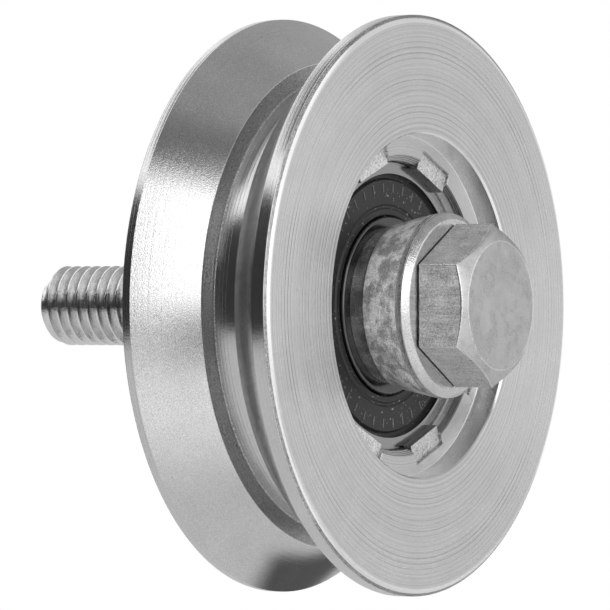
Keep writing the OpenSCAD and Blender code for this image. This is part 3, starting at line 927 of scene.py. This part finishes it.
def studio_panel(name, bearing, elevation, width, height, level, soft=(0.1, 0.1), far=1.6,
                 shift=(0, 0, 0)):
    """A glowing or dark panel that faces the object, with soft edges.

    bearing is counted from -X towards -Y. The panel shows in the metal, never to the camera.
    """
    b, e = math.radians(bearing), math.radians(elevation)
    way = Vector((-math.cos(b) * math.cos(e), -math.sin(b) * math.cos(e), math.sin(e)))
    half_w = far * math.tan(math.radians(width) / 2)
    half_h = far * math.tan(math.radians(height) / 2)
    mesh = bpy.data.meshes.new(name)
    mesh.from_pydata([(-half_w, -half_h, 0), (half_w, -half_h, 0),
                      (half_w, half_h, 0), (-half_w, half_h, 0)], [], [(0, 1, 2, 3)])
    panel = bpy.data.objects.new(name, mesh)
    bpy.context.collection.objects.link(panel)
    panel.location = way * far + Vector(shift)
    panel.rotation_euler = way.to_track_quat("Z", "Y").to_euler()
    material = bpy.data.materials.new(name)
    material.use_nodes = True
    tree = material.node_tree
    tree.nodes.clear()
    coordinates = tree.nodes.new("ShaderNodeTexCoord")
    parts = tree.nodes.new("ShaderNodeSeparateXYZ")
    tree.links.new(coordinates.outputs["Generated"], parts.inputs[0])
    fades = []
    for axis, edge in zip("XY", soft):
        away = tree.nodes.new("ShaderNodeMath")
        away.operation = "PINGPONG"
        away.inputs[1].default_value = 0.5
        tree.links.new(parts.outputs[axis], away.inputs[0])
        fade = tree.nodes.new("ShaderNodeMapRange")
        fade.interpolation_type = "SMOOTHSTEP"
        fade.inputs["From Min"].default_value = 0.0
        fade.inputs["From Max"].default_value = edge
        tree.links.new(away.outputs[0], fade.inputs["Value"])
        fades.append(fade)
    both = tree.nodes.new("ShaderNodeMath")
    both.operation = "MULTIPLY"
    tree.links.new(fades[0].outputs[0], both.inputs[0])
    tree.links.new(fades[1].outputs[0], both.inputs[1])
    clear = tree.nodes.new("ShaderNodeBsdfTransparent")
    glow = tree.nodes.new("ShaderNodeEmission")
    glow.inputs["Strength"].default_value = level
    mix = tree.nodes.new("ShaderNodeMixShader")
    tree.links.new(both.outputs[0], mix.inputs[0])
    tree.links.new(clear.outputs[0], mix.inputs[1])
    tree.links.new(glow.outputs[0], mix.inputs[2])
    output = tree.nodes.new("ShaderNodeOutputMaterial")
    tree.links.new(mix.outputs[0], output.inputs["Surface"])
    mesh.materials.append(material)
    panel.visible_camera = False
    panel.visible_diffuse = False
    panel.visible_shadow = False


def make_floor():
    """A plain pale floor, below what the level camera sees."""
    mesh = bpy.data.meshes.new("floor")
    reach = FLOOR_REACH
    mesh.from_pydata([(-reach, -reach, 0), (reach, -reach, 0), (reach, reach, 0),
                      (-reach, reach, 0)], [], [(0, 1, 2, 3)])
    floor = bpy.data.objects.new("floor", mesh)
    floor.location.z = FLOOR_HEIGHT
    bpy.context.collection.objects.link(floor)
    material = bpy.data.materials.new("pale_floor")
    material.use_nodes = True
    surface = material.node_tree.nodes["Principled BSDF"]
    surface.inputs["Base Color"].default_value = (0.82, 0.82, 0.82, 1)
    surface.inputs["Roughness"].default_value = 0.9
    mesh.materials.append(material)


def make_lamp(name, place, size, power):
    """A soft square lamp, or where size is 0 a soft distant one; metal shows neither."""
    data = bpy.data.lights.new(name, "AREA" if size else "SUN")
    if size:
        data.size = size
    else:
        data.angle = DISTANT_LAMP_ANGLE
    data.energy = power
    lamp = bpy.data.objects.new(name, data)
    bpy.context.collection.objects.link(lamp)
    lamp.location = place
    lamp.rotation_euler = Vector(place).to_track_quat("Z", "Y").to_euler()
    lamp.visible_glossy = False


def make_world():
    """White behind the object and in its metal, and a softer level for the light itself."""
    world = bpy.data.worlds.new("studio")
    bpy.context.scene.world = world
    world.use_nodes = True
    tree = world.node_tree
    background = tree.nodes["Background"]
    background.inputs["Color"].default_value = (1, 1, 1, 1)
    path = tree.nodes.new("ShaderNodeLightPath")
    seen = tree.nodes.new("ShaderNodeMath")
    seen.operation = "ADD"
    tree.links.new(path.outputs["Is Camera Ray"], seen.inputs[0])
    tree.links.new(path.outputs["Is Glossy Ray"], seen.inputs[1])
    also = tree.nodes.new("ShaderNodeMath")
    also.operation = "ADD"
    also.use_clamp = True
    tree.links.new(seen.outputs[0], also.inputs[0])
    tree.links.new(path.outputs["Is Transmission Ray"], also.inputs[1])
    level = tree.nodes.new("ShaderNodeMapRange")
    level.inputs["To Min"].default_value = AMBIENT
    level.inputs["To Max"].default_value = 1.0
    tree.links.new(also.outputs[0], level.inputs["Value"])
    tree.links.new(level.outputs[0], background.inputs["Strength"])


def make_studio():
    """The panels and the lamps."""
    for panel in PANELS:
        studio_panel(*panel)
    for lamp in LAMPS:
        make_lamp(*lamp)


# ---------------------------------------------------------------- camera

CAMERA_PLACE = (-0.48972, -0.30458, 0.00008)    # metres
CAMERA_HEADING = math.radians(57.55)            # from +Y towards +X
CAMERA_LENS = 280.07                            # millimetres, on a sensor 36 mm wide


def make_camera():
    """A long lens level with the axle, from the front left."""
    forward = Vector((math.sin(CAMERA_HEADING), math.cos(CAMERA_HEADING), 0))
    data = bpy.data.cameras.new("camera")
    data.sensor_width = 36
    data.lens = CAMERA_LENS
    data.clip_start = 0.05
    camera = bpy.data.objects.new("camera", data)
    bpy.context.collection.objects.link(camera)
    camera.location = CAMERA_PLACE
    camera.rotation_euler = forward.to_track_quat("-Z", "Y").to_euler()
    bpy.context.scene.camera = camera
    bpy.context.scene.view_settings.view_transform = "Standard"


# ---------------------------------------------------------------- the whole


def bush_materials():
    """Both bushes' materials, one for each finish; the rear one's land is brighter."""
    cone = plated_steel("collar_steel", level=0.72, rough=0.42, grain=2.4, blotch=0.28, dull=0.5,
                        uneven=0.8, rings=0.3)
    face = plated_steel("collar_face", level=0.7, rough=0.2, blotch=0.12, lumps=0.6)
    neck = plated_steel("collar_neck", level=0.45, rough=0.24, grain=0.9, blotch=0.14, lumps=0.3,
                        dull=0.15)
    land = plated_steel("collar_land", level=0.55, rough=0.1, grain=0.7, blotch=0.06, lumps=0.8)
    end = plated_steel("spacer_end", level=0.88, rough=0.08, grain=0.3, blotch=0.06, lumps=0.5)
    return [cone, face, neck, land], [cone, face, neck, end]


def bolt_materials():
    """The bolt's materials, one for each finish."""
    crown = plated_steel("bolt_crown", level=0.55, rough=0.36, grain=0.5, blotch=0.14)
    forged = plated_steel("bolt_forged", level=0.42, rough=0.38, grain=1.5, blotch=0.12,
                          dull=0.68, uneven=0.2, drawn=1.3)
    shank = plated_steel("bolt_shank", level=0.66, rough=0.22, grain=0.4, lumps=0.3)
    thread = plated_steel("bolt_thread", level=0.82, rough=0.12, grain=0.8, blotch=0.06,
                          lumps=0.3)
    edges = plated_steel("bolt_edges", level=0.7, rough=0.2, grain=1.2, blotch=0.1, lumps=0.6)
    return [crown, forged, shank, thread, edges]


def build():
    """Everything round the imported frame."""
    make_camera()
    make_world()
    make_floor()
    make_studio()
    make_wheel()
    make_outer_ring(ground_steel("ring_steel", 0.4, 0.16))
    # The inner ring's steel is far darker than the outer ring's: painted shade, for the shade it
    # lies in between the seal and the collar.
    make_inner_ring(ground_steel("shaded_ring_steel", 0.12, 0.2))
    rubber = [seal_rubber("seal_rubber", 0.012), seal_rubber("worn_ticks", 0.12)]
    make_seal("front_seal_rubber", "front_seal", rubber, 1)
    make_seal("rear_seal_rubber", "rear_seal", rubber, -1)
    front_finishes, rear_finishes = bush_materials()
    make_front_bush(front_finishes)
    make_rear_bush(rear_finishes)
    make_bolt(bolt_materials())
    paint_hidden_pieces()


build()
